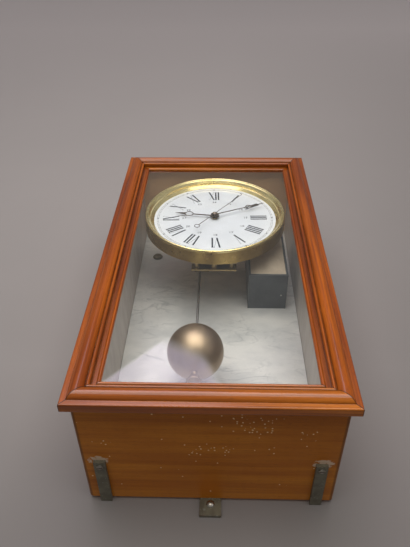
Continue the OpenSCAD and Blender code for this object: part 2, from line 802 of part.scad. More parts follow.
// Pendulum, hung from the cock on a thin spring
cock_y = [pend_y - 6, pend_y + 6];
spring_w = 8;
rod_top = pivot_z - 10;
nut_z = ball_z - ball_r;
module suspension_cock() {
    color(brass) {
        difference() {
            block([-pend_x - 8, -pend_x + 8], cock_y, [pivot_z + pass_gap, pivot_z + 24]);
            bar_y(1.2, [cock_y[0] - 1, cock_y[1] + 1], -pend_x, pivot_z + 10);
        }
        block([-pend_x - 6, -pend_x + 6], [cock_y[1], marble_face - 4], [pivot_z + 8, pivot_z + 18]);
        block([-pend_x - 13, -pend_x + 13], [marble_face - 4, marble_face],
            [pivot_z + 7, arm_z - arm_flange_r - 1]);
    }
}
module suspension_spring() {
    color(steel) block([-pend_x - 0.15, -pend_x + 0.15], [pend_y - spring_w / 2, pend_y + spring_w / 2],
        [rod_top, pivot_z]);
}
module pendulum_rod() {
    color("#85857f") {
        union() {
            bar_z(rod_r, [nut_z - 17, rod_top - 4], -pend_x, pend_y);
            block([-pend_x - 2.5, -pend_x + 2.5], [pend_y - 5, pend_y + 5], [rod_top - 4, rod_top]);
        }
    }
}
module pendulum_ball() {
    color("#b08d3e") translate([-pend_x, pend_y, ball_z]) difference() {
        sphere(ball_r, $fn = 96);
        bar_z(rod_r + run_fit, [-ball_r - 1, ball_r + 1]);
        bar_z(ball_r, [-ball_r - 1, -ball_r + 0.4]);
    }
}
module rating_nut() {
    color("#b9a25a") translate([-pend_x, pend_y, nut_z]) mirror([0, 0, 1]) rotate_extrude()
        polygon([[rod_r + run_fit, -0.4], [4, -0.4], [4, 5], [5, 6], [9.5, 14], [9.5, 16],
            [8.5, 16.6], [rod_r + run_fit, 16.6]]);
}
pawl_z = armature_pin[1] - 11.5;
pawl_y = [count_wheel_y[0] - 0.2, count_wheel_y[1] + 0.2];
pawl_pin_x = -pend_x - 1;
module pawl_arm() {
    color(brass) {
        difference() {
            block([-pend_x - 4, -pend_x + 4], [pend_y - 4, pend_y + 4], [pawl_z - 4, pawl_z + 4]);
            bar_z(rod_r + run_fit, [pawl_z - 5, pawl_z + 5], -pend_x, pend_y);
        }
        bar_y(2, [pawl_y[1] + 2, pend_y - 4], pawl_pin_x, pawl_z);
        bar_y(0.8, [pawl_y[0] - 0.8, pawl_y[1] + 2], pawl_pin_x, pawl_z);
    }
}
tooth_at = -135;
pawl_tip_r = count_r + 0.5 + 15 * sin(swing);
pawl_tip = [pawl_tip_r * sin(tooth_at), dial_z + pawl_tip_r * cos(tooth_at)];
module gathering_pawl() {
    dx = pawl_tip[0] - pawl_pin_x;
    dz = pawl_tip[1] - pawl_z;
    color(steel) front_view(pawl_y, pawl_pin_x, pawl_z) difference() {
        union() {
            circle(2.2);
            polygon([[-1.5, 1], [1.5, -1], [dx + 0.4, dz - 0.4], [dx - 0.1, dz], [dx - 1.4, dz - 0.4]]);
        }
        circle(0.8 + run_fit);
    }
}
module retaining_click() {
    click_y = [plates_back, count_wheel_y[1] + 1];
    color(steel) {
        block([count_r + 4, count_r + 10], click_y, [dial_z - 12, dial_z - 4]);
        front_view([count_wheel_y[0], count_wheel_y[1]], 0, dial_z)
            polygon([[count_r + 4.5, -10], [count_r + 5.5, -6], [count_r + 1, 4],
                [count_r + 0.5, 4]]);
    }
}

// Electromagnet, armature with its impulse finger, and the contact
magnet_y = pend_y - 6;
coil_x = [14, 34];
coil_r = 8;
core_r = 3;
module magnet_yoke() {
    cheek_x = [armature_pin[0] - 3, armature_pin[0] + 4];
    color("#55585a") {
        block([3, cheek_x[1]], [magnet_y - 7, magnet_y + 7], [coil_z[1], coil_z[1] + yoke_h]);
        for (x = coil_x) bar_z(core_r, [coil_z[0] - 2, coil_z[1]], x, magnet_y);
        block([18, 30], [plates_back, magnet_y - 7], [coil_z[1], coil_z[1] + yoke_h]);
        block(cheek_x, [magnet_y + 6, magnet_y + 8.5], [armature_pin[1] - 4, coil_z[1] + yoke_h]);
        bar_y(armature_pin_r, [magnet_y - 6, magnet_y + 6], armature_pin[0], armature_pin[1]);
    }
}
module magnet_coils() {
    color("#6b2f20") for (x = coil_x) difference() {
        union() {
            bar_z(coil_r - 1, [coil_z[0], coil_z[1]], x, magnet_y);
            bar_z(coil_r, [coil_z[0], coil_z[0] + 1.5], x, magnet_y);
            bar_z(coil_r, [coil_z[1] - 1.5, coil_z[1]], x, magnet_y);
        }
        bar_z(core_r + run_fit, [coil_z[0] - 1, coil_z[1] + 1], x, magnet_y);
    }
}
armature_z = [armature_pin[1] - 2, armature_pin[1] + 2];
armature_pin_r = 1.2;
finger_end = -pend_x + rod_r + 0.6 + (pivot_z - armature_z[0]) * sin(swing);
module armature_lever() {
    color("#606466") {
        difference() {
            union() {
                block([4, 46], [magnet_y - 5, magnet_y + 5], armature_z);
                bar_y(3.5, [magnet_y - 5, magnet_y + 5], armature_pin[0], armature_pin[1]);
            }
            bar_y(armature_pin_r + run_fit, [magnet_y - 8, magnet_y + 8], armature_pin[0],
                armature_pin[1]);
        }
        block([finger_end, 4], [magnet_y - 1, magnet_y + 5], [armature_z[0] + 1, armature_z[1] - 1]);
    }
}
contact_x = -pend_x - 14;
module contact_spring() {
    // The leaf ends where the rod comes at the end of its swing to the left
    leaf_x = -pend_x - rod_r - 0.5 - 22 * sin(swing);
    leaf_y = [magnet_y, magnet_y + 6];
    color("#3b2f2a")
        block([contact_x - 5, contact_x + 5], [magnet_y - 4, magnet_y + 10], [dial_z - 2, dial_z + 8]);
    color(brass) {
        block([contact_x, leaf_x], leaf_y, [dial_z - 2.5, dial_z - 2]);
        block([leaf_x - 0.5, leaf_x], leaf_y, [dial_z - 22, dial_z - 2]);
        block([contact_x - 3, max(contact_x + 3, 5 - plate_w / 2)], [plates_back, magnet_y - 4],
            [dial_z, dial_z + 6]);
    }
}

// Battery in its box on the marble, at the right
box_x = armature_pin[0] + 9;
box_z = dial_z + 28.5 - box_h;
box_y = marble_face - box_d;
module battery_box() {
    color("#3c4146") {
        block([box_x, box_x + box_w], [box_y, marble_face], [box_z, box_z + box_wall]);
        block([box_x, box_x + box_wall], [box_y, marble_face], [box_z + box_wall, box_z + box_h]);
        block([box_x + box_w - box_wall, box_x + box_w], [box_y, marble_face],
            [box_z + box_wall, box_z + box_h]);
        block([box_x + box_wall, box_x + box_w - box_wall], [marble_face - box_wall, marble_face],
            [box_z + box_wall, box_z + box_h]);
    }
}
module battery() {
    color("#b4a898") block([box_x + box_wall + 0.3, box_x + box_w - box_wall - 0.3],
        [box_y + 2.5, marble_face - box_wall - 0.3],
        [box_z + box_wall, box_z + box_h - 4]);
}
post_x = [box_x + 16, box_x + box_w - 16];
post_y = marble_face - 36;
post_z = box_z + box_h - 4;
module battery_terminals() {
    color(brass) for (x = post_x) {
        bar_z(4, [post_z, post_z + 2], x, post_y);
        bar_z(1.8, [post_z, post_z + 12], x, post_y);
        bar_z(3.5, [post_z + 6, post_z + 10], x, post_y);
    }
}
wire_r = 0.8;
module wire_run(points) {
    for (i = [0:len(points) - 2]) {
        a = points[i];
        b = points[i + 1];
        d = b - a;
        translate(a) rotate([0, acos(d[2] / norm(d)), atan2(d[1], d[0])])
            cylinder(r = wire_r, h = norm(d), $fn = 24);
        translate(b) sphere(wire_r + 0.05, $fn = 24);
    }
}
module lead_wires() {
    high = post_z + 22;
    color("#4a6a3a") {
        wire_run([[post_x[0] - 3.6, post_y, post_z + 8], [post_x[0] - 9, post_y, post_z + 8],
            [post_x[0] - 9, post_y, post_z + 14], [34, post_y, post_z + 14],
            [34, magnet_y + 10, post_z + 14], [34, magnet_y + 10, coil_z[0] + 10],
            [34, magnet_y + coil_r, coil_z[0] + 10]]);
        wire_run([[post_x[1], post_y, post_z + 12.1], [post_x[1], post_y, high],
            [contact_x, post_y, high], [contact_x, magnet_y + 6, high],
            [contact_x, magnet_y + 6, dial_z + 8.9]]);
    }
}

case_side_left();
case_side_right();
case_top();
case_bottom();
back_board();
marble_slab();
marble_screws();
wall_strap_left();
wall_strap_right();
case_screws();
wall_tab_upper();
wall_tab_lower();
steady_screw();
hinge_case_leaves();
hinge_pins();
hook_screw();
dial_drum();
dial_bezel();
enamel_dial();
dial_posts();
movement_front_plate();
movement_back_plate();
plate_pillars();
movement_arms();
suspension_cock();
magnet_yoke();
magnet_coils();
retaining_click();
contact_spring();
battery_box();
battery();
battery_terminals();
lead_wires();
door_stile_left();
door_stile_right();
door_rail_top();
door_rail_bottom();
door_glass();
glass_beads();
hinge_door_leaves();
hinge_door_screws();
hook_stud();
door_hook();
suspension_spring();
pendulum_rod();
pendulum_ball();
rating_nut();
pawl_arm();
gathering_pawl();
seconds_arbor();
count_wheel();
seconds_hand();
third_wheel();
centre_wheel();
cannon_pinion();
minute_hand();
minute_wheel();
hour_wheel();
hour_hand();
armature_lever();
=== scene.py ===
# %% [markdown]
# An electric wall clock with a half-seconds pendulum, in a polished mahogany case.
# The real clock is a wooden box with a glazed door. Inside, a marble slab carries a brass drum with an
# enamel dial, a battery box, and a brass ball that swings on a steel rod.
# The wood, brass and steel parts already have their true shapes, so this file gives them their finishes,
# paints the dial, and sets the clock on pale paper under a softbox, seen from its foot.
# All sizes are in metres. X runs along the wall, Z up it, and -Y comes out of it towards the room.

# %% Load the clock's frame
import json
import math

import bpy
from mathutils import Matrix, Vector


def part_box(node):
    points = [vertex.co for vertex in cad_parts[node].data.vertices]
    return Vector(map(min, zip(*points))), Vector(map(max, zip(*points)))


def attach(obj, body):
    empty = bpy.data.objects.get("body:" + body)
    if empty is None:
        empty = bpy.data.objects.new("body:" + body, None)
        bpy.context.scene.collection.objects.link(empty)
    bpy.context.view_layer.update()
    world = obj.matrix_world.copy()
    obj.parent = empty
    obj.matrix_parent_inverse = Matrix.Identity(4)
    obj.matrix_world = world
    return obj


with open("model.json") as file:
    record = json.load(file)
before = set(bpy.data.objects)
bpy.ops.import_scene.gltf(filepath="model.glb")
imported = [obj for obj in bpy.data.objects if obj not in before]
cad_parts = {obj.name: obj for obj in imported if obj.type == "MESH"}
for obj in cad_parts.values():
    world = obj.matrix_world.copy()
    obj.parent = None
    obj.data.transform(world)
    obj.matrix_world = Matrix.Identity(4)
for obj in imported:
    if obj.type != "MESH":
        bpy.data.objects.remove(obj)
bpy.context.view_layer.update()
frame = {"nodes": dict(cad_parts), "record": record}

# %% [markdown]
# The camera comes first, because it decides how fine each pattern has to be.
# The clock lies on its back, and the camera looks along it from beyond its foot, 38 degrees down.
# A matrix of right, up and back directions holds that view exactly, where three angles would hide it.
# The 36 mm sensor lies along the picture's long side, so the lens length is that of the upright picture.

# %% Camera beyond the foot of the clock
camera = bpy.data.objects.new("camera", bpy.data.cameras.new("camera"))
bpy.context.scene.collection.objects.link(camera)
looks = Vector((-0.0273, 0.6098, 0.7921)).normalized()
top = Vector((-0.0086, -0.7925, 0.6098))
top = (top - looks * top.dot(looks)).normalized()
right = looks.cross(top)
camera.matrix_world = Matrix.Translation((0.0095, -0.6458, -0.9504)) @ Matrix(
    (right, top, -looks)).transposed().to_4x4()
camera.data.lens = 36.4
camera.data.sensor_width = 36
camera.data.clip_start, camera.data.clip_end = 0.05, 60
bpy.context.scene.camera = camera
print("lens", camera.data.lens, "mm, looking", [round(v, 3) for v in looks])

# %% [markdown]
# Every finish below is built from a few nodes, so one helper adds a node, sets it and links it.
# Colours are written as sRGB hex, as on a paint card, and one function turns them to linear light.
# A finish is then painted up in layers, the way a restorer would: a ground colour, its figure, then
# darkening in the hollows, which stands for dirt and patina there and is painted shade as well, and wear
# along the edges, each laid on by the product of a few patterns.

# %% Helpers for finishes
def linear(code):
    """An sRGB hex colour as the linear numbers that light is mixed with."""
    channels = [int(code[i:i + 2], 16) / 255 for i in (1, 3, 5)]
    return [c / 12.92 if c <= 0.04045 else ((c + 0.055) / 1.055) ** 2.4 for c in channels] + [1.0]


def add(tree, kind, inputs=None, **settings):
    """Adds a node. An input may be a number, a colour, a socket, or a node for its first output."""
    node = tree.nodes.new(kind)
    for name, value in settings.items():
        setattr(node, name, value)
    for socket, value in (inputs or {}).items():
        if isinstance(value, bpy.types.Node):
            value = value.outputs[0]
        if isinstance(value, bpy.types.NodeSocket):
            tree.links.new(value, node.inputs[socket])
        elif isinstance(value, str):
            node.inputs[socket].default_value = linear(value)
        else:
            node.inputs[socket].default_value = value
    return node


def begin(name):
    """A new finish, its empty node tree, and the place of each point on the clock."""
    material = bpy.data.materials.new(name)
    material.use_nodes = True
    tree = material.node_tree
    tree.nodes.clear()
    return material, tree, add(tree, "ShaderNodeTexCoord").outputs["Object"]


def patches(tree, place, size, low=0.35, high=0.65, detail=3.0):
    """Random patches from 0 to 1. The size is in mm: one number, or one each along X, Y and Z."""
    size = size if isinstance(size, tuple) else (size,) * 3
    mapped = add(tree, "ShaderNodeMapping", {"Vector": place, "Scale": [1000 / s for s in size]})
    noise = add(tree, "ShaderNodeTexNoise", {"Vector": mapped, "Scale": 1.0, "Detail": detail})
    return add(tree, "ShaderNodeMapRange", {"Value": noise, "From Min": low, "From Max": high})


def layer(tree, below, above, *amounts):
    """One colour laid over another, by the product of amounts from 0 to 1."""
    amount = amounts[0]
    for more in amounts[1:]:
        amount = add(tree, "ShaderNodeMath", {0: amount, 1: more}, operation="MULTIPLY")
    return add(tree, "ShaderNodeMix", {0: amount, 6: below, 7: above}, data_type="RGBA").outputs[2]


def recess(tree, reach, low=0.35, high=0.9):
    """1 deep in a groove or corner, 0 in the open. The reach is in mm."""
    hollow = add(tree, "ShaderNodeAmbientOcclusion", {"Distance": reach / 1000}, samples=4, only_local=True)
    return add(tree, "ShaderNodeMapRange", {"Value": hollow.outputs["AO"], "From Min": low,
                                            "From Max": high, "To Min": 1.0, "To Max": 0.0})


def arris(tree, reach):
    """1 along sharp edges, which hands and dusters rub, and 0 on flat faces. The reach is in mm."""
    rounded = add(tree, "ShaderNodeBevel", {"Radius": reach / 1000}, samples=4)
    straight = add(tree, "ShaderNodeNewGeometry").outputs["Normal"]
    along = add(tree, "ShaderNodeVectorMath", {0: rounded, 1: straight}, operation="DOT_PRODUCT")
    return add(tree, "ShaderNodeMapRange",
               {"Value": along.outputs["Value"], "From Min": 0.985, "From Max": 0.85})


def done(material, tree, relief=None, **inputs):
    """Ends a finish with its shader. A relief is a pattern, its depth in mm, and how strongly it shows."""
    named = {name.replace("_", " "): value for name, value in inputs.items()}
    if relief:
        pattern, depth, strength = relief
        named["Normal"] = add(tree, "ShaderNodeBump",
                              {"Height": pattern, "Distance": depth / 1000, "Strength": strength})
    shader = add(tree, "ShaderNodeBsdfPrincipled", named)
    add(tree, "ShaderNodeOutputMaterial", {"Surface": shader})
    return material


print("a mid grey is", [round(v, 3) for v in linear("#808080")])

# %% [markdown]
# The case and door are mahogany, filled and French polished: many thin coats of shellac rubbed on by hand.
# To the eye that is a warm orange-brown figure under a clear gloss, with fine dark pores along the grain,
# old wax and painted shade in the grooves, and paler, duller edges where the polish has worn.
# Boards show their grain along their length, so each piece's grain axis is chosen to match how it was cut.
# The noise is stretched 16 to 40 times along the grain, and the pores are drawn 0.5 mm wide.
# The door's members meet in mitres. Dust and old polish fill each mitre, so it shows as a fine dark line
# where a point lies as far in from the door's side as from its end.

# %% French-polished mahogany
def mahogany(name, grain, pale, mid, dark, lining=None, wash=None, marks=None, gloss=0.4, streak=0.6):
    """Wood with its grain along one axis. A lining finds the inner face, and a wash colours it, darker
    towards the corners as painted shade.
    """
    material, tree, place = begin(name)

    def cut(across, along, low, high, detail=2.0):
        size = [across] * 3
        size["XYZ".index(grain)] = along
        return patches(tree, place, tuple(size), low, high, detail)

    pores = cut(0.5, 9, 0.6, 0.7, 1.0)
    colour = layer(tree, mid, pale, cut(17, 300, 0.38, 0.62))
    colour = layer(tree, colour, dark, cut(2.6, 120, 0.42, 0.72, 3.0), streak)
    colour = layer(tree, colour, "#3c1a0c", pores, 0.4)
    colour = layer(tree, colour, mid, patches(tree, place, 70, 0.45, 0.7), 0.35)
    # Old wax and painted shade: grooves and corners are darkened to a deep brown by how hidden they are.
    colour = layer(tree, colour, "#2e1206", recess(tree, 8), 0.9)
    colour = layer(tree, colour, "#c98a50", arris(tree, 1.4), patches(tree, place, 14, 0.42, 0.62), 0.4)
    if marks:
        colour = marks(tree, place, colour)
    roughness = add(tree, "ShaderNodeMapRange",
                    {"Value": patches(tree, place, 30, 0.3, 0.7), "To Min": 0.3, "To Max": 0.46})
    if lining:
        inside = lining(tree, add(tree, "ShaderNodeSeparateXYZ", {"Vector": place}))
        thin, thick, chip_and_corner_shade = wash
        washed = layer(tree, thin, thick, patches(tree, place, (60, 60, 14), 0.3, 0.7))
        # Painted shade: the wash darkens towards the inner corners of the case, over a reach of 30 mm.
        washed = layer(tree, washed, chip_and_corner_shade, recess(tree, 30, 0.3, 1.0), 0.5)
        colour = layer(tree, colour, washed, inside)
        roughness = add(tree, "ShaderNodeMix", {0: inside, 2: roughness, 3: 0.6}).outputs[0]
    return done(material, tree, relief=(pores, 0.12, 0.25), Base_Color=colour, Roughness=roughness,
                Coat_Weight=gloss, Coat_Roughness=0.15, Coat_IOR=1.5, Specular_IOR_Level=0.1)


# The stiles take a darker copy of the rails' mahogany, which paints shade on them.
STILE_SHADED = "#b25a0c", "#893d07", "#521b03"
RAIL = "#c46f14", "#9b4d0c", "#5f2906"
CASE = "#c2771d", "#aa6014", "#7f440b"
door_low, door_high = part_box("door_stile_left")[0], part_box("door_stile_right")[1]
door_middle, door_half = (door_low + door_high) / 2, (door_high - door_low) / 2


def mitre_lines(tree, place, colour):
    """A dark line where two members of the door meet."""
    at = add(tree, "ShaderNodeSeparateXYZ", {"Vector": place})
    inward = []
    for axis in (0, 2):
        off = add(tree, "ShaderNodeMath", {0: at.outputs[axis], 1: door_middle[axis]}, operation="SUBTRACT")
        off = add(tree, "ShaderNodeMath", {0: off}, operation="ABSOLUTE")
        inward.append(add(tree, "ShaderNodeMath", {0: door_half[axis], 1: off}, operation="SUBTRACT"))
    apart = add(tree, "ShaderNodeMath", {0: inward[0], 1: inward[1]}, operation="SUBTRACT")
    apart = add(tree, "ShaderNodeMath", {0: apart}, operation="ABSOLUTE")
    joint = add(tree, "ShaderNodeMapRange", {"Value": apart, "From Min": 0.0011, "From Max": 0.0005})
    return layer(tree, colour, "#1d0c07", joint, 0.8)


door_upright = mahogany("mahogany_french_polished_door_upright", "Z", *STILE_SHADED, marks=mitre_lines, gloss=0.7)
door_level = mahogany("mahogany_french_polished_door_level", "X", *RAIL, marks=mitre_lines, gloss=0.85)
print("two door finishes, with the grain up the stiles and along the rails")

# %% [markdown]
# The case boards are browner and duller than the door, and their inner faces have a thin grey-brown wash
# that darkens towards the inner corners as painted shade.
# An inner face is told by its place, with a skin of 0.05 mm that still counts as on the face.
# The foot board is the one nearest the camera. It has splashes of pale wall paint, bare chips where the
# iron straps were forced under the polish, a warmer patch above the wall tab where the dirt was wiped,
# and ends darkened where the board rounds over at its sides, which is painted shade.
# The splashes are cells of a Voronoi pattern: each cell has one point, and only a few cells near the
# places where the paint fell keep theirs, and only on the board's lower face. Each such place is an oval,
# given by its middle and its two reaches in mm.

# %% Case boards and the splashed foot board
case_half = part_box("case_bottom")[1].x
foot_low, foot_top = (corner.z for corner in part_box("case_bottom"))
inner_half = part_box("case_side_right")[0].x
head_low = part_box("case_top")[0].z
SKIN = 0.00005
PAINT_FELL = ((48, -150, 40, 26), (2, -103, 60, 14), (108, -130, 14, 18), (-119, -112, 14, 10),
              (70, -104, 18, 10))


def near(tree, place, x, y, across, along):
    """1 at a point of the foot board, falling to 0 at an oval round it. Sizes are in mm."""
    offset = add(tree, "ShaderNodeMapping",
                 {"Vector": place, "Location": (-x / across, -y / along, 0),
                  "Scale": (1000 / across, 1000 / along, 0)})
    reach = add(tree, "ShaderNodeVectorMath", {0: offset}, operation="LENGTH")
    return add(tree, "ShaderNodeMapRange",
               {"Value": reach.outputs["Value"], "From Min": 1.0, "From Max": 0.0})


def foot_marks(tree, place, colour):
    colour = layer(tree, colour, "#b8681f", near(tree, place, -3, -26, 26, 34), 0.8)
    fallen = 0.025
    for spot in PAINT_FELL:
        fallen = add(tree, "ShaderNodeMath", {0: fallen, 1: near(tree, place, *spot)}, operation="MAXIMUM")
    flat = add(tree, "ShaderNodeMapping", {"Vector": place, "Scale": (240, 240, 0)})
    cells = add(tree, "ShaderNodeTexVoronoi", {"Vector": flat, "Scale": 1.0, "Randomness": 1.0})
    chance = add(tree, "ShaderNodeSeparateColor", {"Color": cells.outputs["Color"]})
    often = add(tree, "ShaderNodeMath", {0: fallen, 1: 0.95}, operation="MULTIPLY")
    kept = add(tree, "ShaderNodeMath", {0: chance, 1: often}, operation="LESS_THAN")
    at = add(tree, "ShaderNodeSeparateXYZ", {"Vector": place})
    under = add(tree, "ShaderNodeMath", {0: at.outputs[2], 1: foot_low + 0.0005}, operation="LESS_THAN")
    drop = add(tree, "ShaderNodeMapRange",
               {"Value": cells.outputs["Distance"], "From Min": 0.27, "From Max": 0.18})
    colour = layer(tree, colour, "#f6d9a6", kept, drop, under, 0.9)
    ragged = patches(tree, place, 5, 0.3, 0.7)
    for x in (-130.5, 130.5):
        chip = near(tree, place, x, -80, 17, 11)
        chip_and_corner_shade = add(tree, "ShaderNodeMath", {0: chip, 1: ragged}, operation="MULTIPLY")
        chip_and_corner_shade = add(tree, "ShaderNodeMapRange", {"Value": chip_and_corner_shade, "From Min": 0.12, "From Max": 0.2})
        colour = layer(tree, colour, "#d8c0a6", chip_and_corner_shade, 0.85)
    # Painted shade: the board goes dark within 5 mm of each end, where its edges round over.
    from_middle = add(tree, "ShaderNodeMath", {0: at.outputs[0]}, operation="ABSOLUTE")
    ends_painted_shade = add(tree, "ShaderNodeMapRange",
                   {"Value": from_middle, "From Min": case_half - 0.005, "From Max": case_half - 0.0034})
    return layer(tree, colour, "#4a3218", ends_painted_shade, 0.6)


def inside_sides(tree, at):
    span = add(tree, "ShaderNodeMath", {0: at.outputs[0]}, operation="ABSOLUTE")
    return add(tree, "ShaderNodeMath", {0: span, 1: inner_half + SKIN}, operation="LESS_THAN")


def inside_foot(tree, at):
    return add(tree, "ShaderNodeMath", {0: at.outputs[2], 1: foot_top - SKIN}, operation="GREATER_THAN")


def inside_head(tree, at):
    return add(tree, "ShaderNodeMath", {0: at.outputs[2], 1: head_low + SKIN}, operation="LESS_THAN")


GREY_WASH_AND_SHADE = "#b0a59c", "#c0b6ae", "#6b5d52"
case_side = mahogany("mahogany_case_side_washed_inside", "Z", *CASE, lining=inside_sides, wash=GREY_WASH_AND_SHADE)
case_foot = mahogany("mahogany_foot_board_splashed", "X", *CASE, lining=inside_foot, wash=GREY_WASH_AND_SHADE,
                     marks=foot_marks, gloss=0.15, streak=0.25)
case_head = mahogany("mahogany_head_board_washed_inside", "X", *CASE, lining=inside_head,
                     wash=("#e0b384", "#e8c094", "#8a5f3a"))
print("three case finishes, washed grey-brown inside")

# %% [markdown]
# The back board is plain sawn pine that nobody was meant to see: dry, matt, with brown growth rings.
# The marble slab is honed and waxed white marble with soft grey clouds and a few thin veins that run
# across the slab. A vein is where a slow noise crosses its middle value, so it wanders and never breaks.

# %% Pine and marble
def sawn_pine():
    material, tree, place = begin("pine_sawn_unfinished")
    rings = patches(tree, place, (9, 40, 260), 0.4, 0.62, 3.0)
    saw = patches(tree, place, (40, 40, 1.2), 0.45, 0.6)
    colour = layer(tree, "#a9825a", "#86603c", rings)
    colour = layer(tree, colour, "#6f563f", patches(tree, place, 90), 0.5)
    colour = layer(tree, colour, "#3f3025", recess(tree, 12), 0.6)
    return done(material, tree, relief=(saw, 0.25, 0.4), Base_Color=colour, Roughness=0.82)


def honed_marble():
    material, tree, place = begin("marble_honed_and_waxed")
    colour = layer(tree, "#e2e0dc", "#c6c6c5", patches(tree, place, (70, 60, 38), 0.36, 0.66, 5.0))
    for size, width, depth in (((75, 60, 30), 0.03, 0.4), ((34, 30, 15), 0.02, 0.3)):
        mapped = add(tree, "ShaderNodeMapping", {"Vector": place, "Scale": [1000 / s for s in size],
                                                 "Rotation": (0, 0.12, 0)})
        slow = add(tree, "ShaderNodeTexNoise",
                   {"Vector": mapped, "Scale": 1.0, "Detail": 4.0, "Distortion": 0.7})
        off = add(tree, "ShaderNodeMath", {0: slow, 1: 0.5}, operation="SUBTRACT")
        off = add(tree, "ShaderNodeMath", {0: off}, operation="ABSOLUTE")
        vein = add(tree, "ShaderNodeMapRange", {"Value": off, "From Min": width, "From Max": 0.0})
        colour = layer(tree, colour, "#8b8f93", vein, patches(tree, place, 70, 0.45, 0.62), depth)
    colour = layer(tree, colour, "#9d9d9b", patches(tree, place, 1.6, 0.6, 0.75), 0.15)
    return done(material, tree, Base_Color=colour, Roughness=0.27, IOR=1.49)


pine, marble = sawn_pine(), honed_marble()
print("pine behind, marble in front")

# %% [markdown]
# Brass in an old clock is polished, then lacquered. The lacquer yellows and lets air in at scratches, so
# the metal goes olive and brown in slow patches, and stays bright where it was rubbed.
# A metal's colour is its reflection, so the base colour is what comes back, and the default IOR stays.
# Bezel and drum are spun over a former and polished round and round, which leaves a brushed sheen that is
# wider across the marks than along them. The drum takes a darker copy of the bezel's brass, which is painted
# shade. The plates and arms inside were only grained, and never lacquered, and their brass is darker again
# as painted shade.

# %% Brass, bright, dull and bronzed
def aged_brass(name, bright, olive, brown, smooth=0.2, dull=0.42, patch=60, specks=0.3):
    material, tree, place = begin(name)
    tarnish = patches(tree, place, patch, 0.42, 0.66, 4.0)
    colour = layer(tree, bright, olive, tarnish, 0.7)
    colour = layer(tree, colour, brown, patches(tree, place, 4, 0.6, 0.72), specks)
    colour = layer(tree, colour, brown, recess(tree, 3), 0.6)
    colour = layer(tree, colour, bright, arris(tree, 0.8), 0.5)
    roughness = add(tree, "ShaderNodeMapRange", {"Value": tarnish, "To Min": smooth, "To Max": dull})
    grain = patches(tree, place, (0.9, 6, 0.9), 0.3, 0.7, 1.0)
    return done(material, tree, relief=(grain, 0.004, 0.15), Base_Color=colour, Roughness=roughness,
                Metallic=1.0)


brass = aged_brass("brass_spun_and_lacquered", "#f3e0a2", "#cbb16b", "#6b552c", 0.2, 0.3)
# Painted shade: the drum takes a darker copy of the bezel's brass.
drum_brass_shaded = aged_brass("brass_drum_darkened_painted_shade", "#bda262", "#866c3a", "#4a381f", 0.25, 0.36,
                        patch=45)
# Grained, unlacquered brass made darker as painted shade for the plates and arms behind the dial.
dull_brass_shaded = aged_brass("brass_grained_unlacquered_painted_shade", "#a8946a", "#7f7152", "#4b4029", 0.4, 0.55, patch=24)
ball_brass = aged_brass("brass_tarnished_ball", "#9e8a72", "#85766c", "#5f554f", 0.42, 0.46, specks=0.15)
dark_brass = aged_brass("brass_bronzed", "#6f6549", "#4b4534", "#2a261e", 0.35, 0.55, patch=20)
print("five kinds of brass")

# %% [markdown]
# Steel and iron parts differ in how they were finished. Arbors and pins are polished, the rod is drawn
# bright and has gone grey, screws are turned and stained, and the hands were heated until they browned.
# The wall straps, tabs and magnet are forged iron under old grey-green paint, with rust along edges.

# %% Steels and painted iron
def plain_steel(name, pale, grey, stain, smooth, dull, drawn=1, spots=0.5):
    material, tree, place = begin(name)
    film = patches(tree, place, (9, 9, 9 * drawn), 0.4, 0.65, 4.0)
    colour = layer(tree, pale, grey, film)
    colour = layer(tree, colour, stain, patches(tree, place, (2.2, 2.2, 2.2 * drawn), 0.58, 0.7), spots)
    colour = layer(tree, colour, stain, recess(tree, 1.5), 0.7)
    roughness = add(tree, "ShaderNodeMapRange", {"Value": film, "To Min": smooth, "To Max": dull})
    return done(material, tree, Base_Color=colour, Roughness=roughness, Metallic=1.0)


def painted_iron():
    material, tree, place = begin("iron_forged_old_paint")
    colour = layer(tree, "#6c6754", "#565040", patches(tree, place, 12, 0.35, 0.65, 4.0))
    colour = layer(tree, colour, "#5d4030", arris(tree, 1.6), patches(tree, place, 6, 0.4, 0.6), 0.8)
    colour = layer(tree, colour, "#8c8f84", patches(tree, place, 3, 0.6, 0.68), 0.5)
    colour = layer(tree, colour, "#2e2b25", recess(tree, 2), 0.7)
    return done(material, tree, relief=(patches(tree, place, 2.4, 0.3, 0.7), 0.15, 0.4),
                Base_Color=colour, Roughness=0.5)


steel = plain_steel("steel_polished", "#b9b9b6", "#98989a", "#5f5a54", 0.16, 0.3)
rod_steel = plain_steel("steel_drawn_rod", "#a9a9a6", "#8a8a89", "#54504a", 0.25, 0.4, drawn=14, spots=0.25)
screw_steel = plain_steel("steel_turned_stained", "#c4bdb0", "#9a9388", "#57493a", 0.25, 0.45)
hand_steel = plain_steel("steel_browned_by_heat", "#7d7068", "#5f544d", "#3a322d", 0.22, 0.38)
iron = painted_iron()
print("four steels and one painted iron")

# %% [markdown]
# The remaining finishes are small but each has its own look: silk wound tight on the coils, a cotton
# braid on the leads, dark blue-grey enamel paint on the battery box with brush texture, a buff card sleeve
# on the cell, and turned ebonite. A winding is a wave along the coil, one wave for each turn of wire.

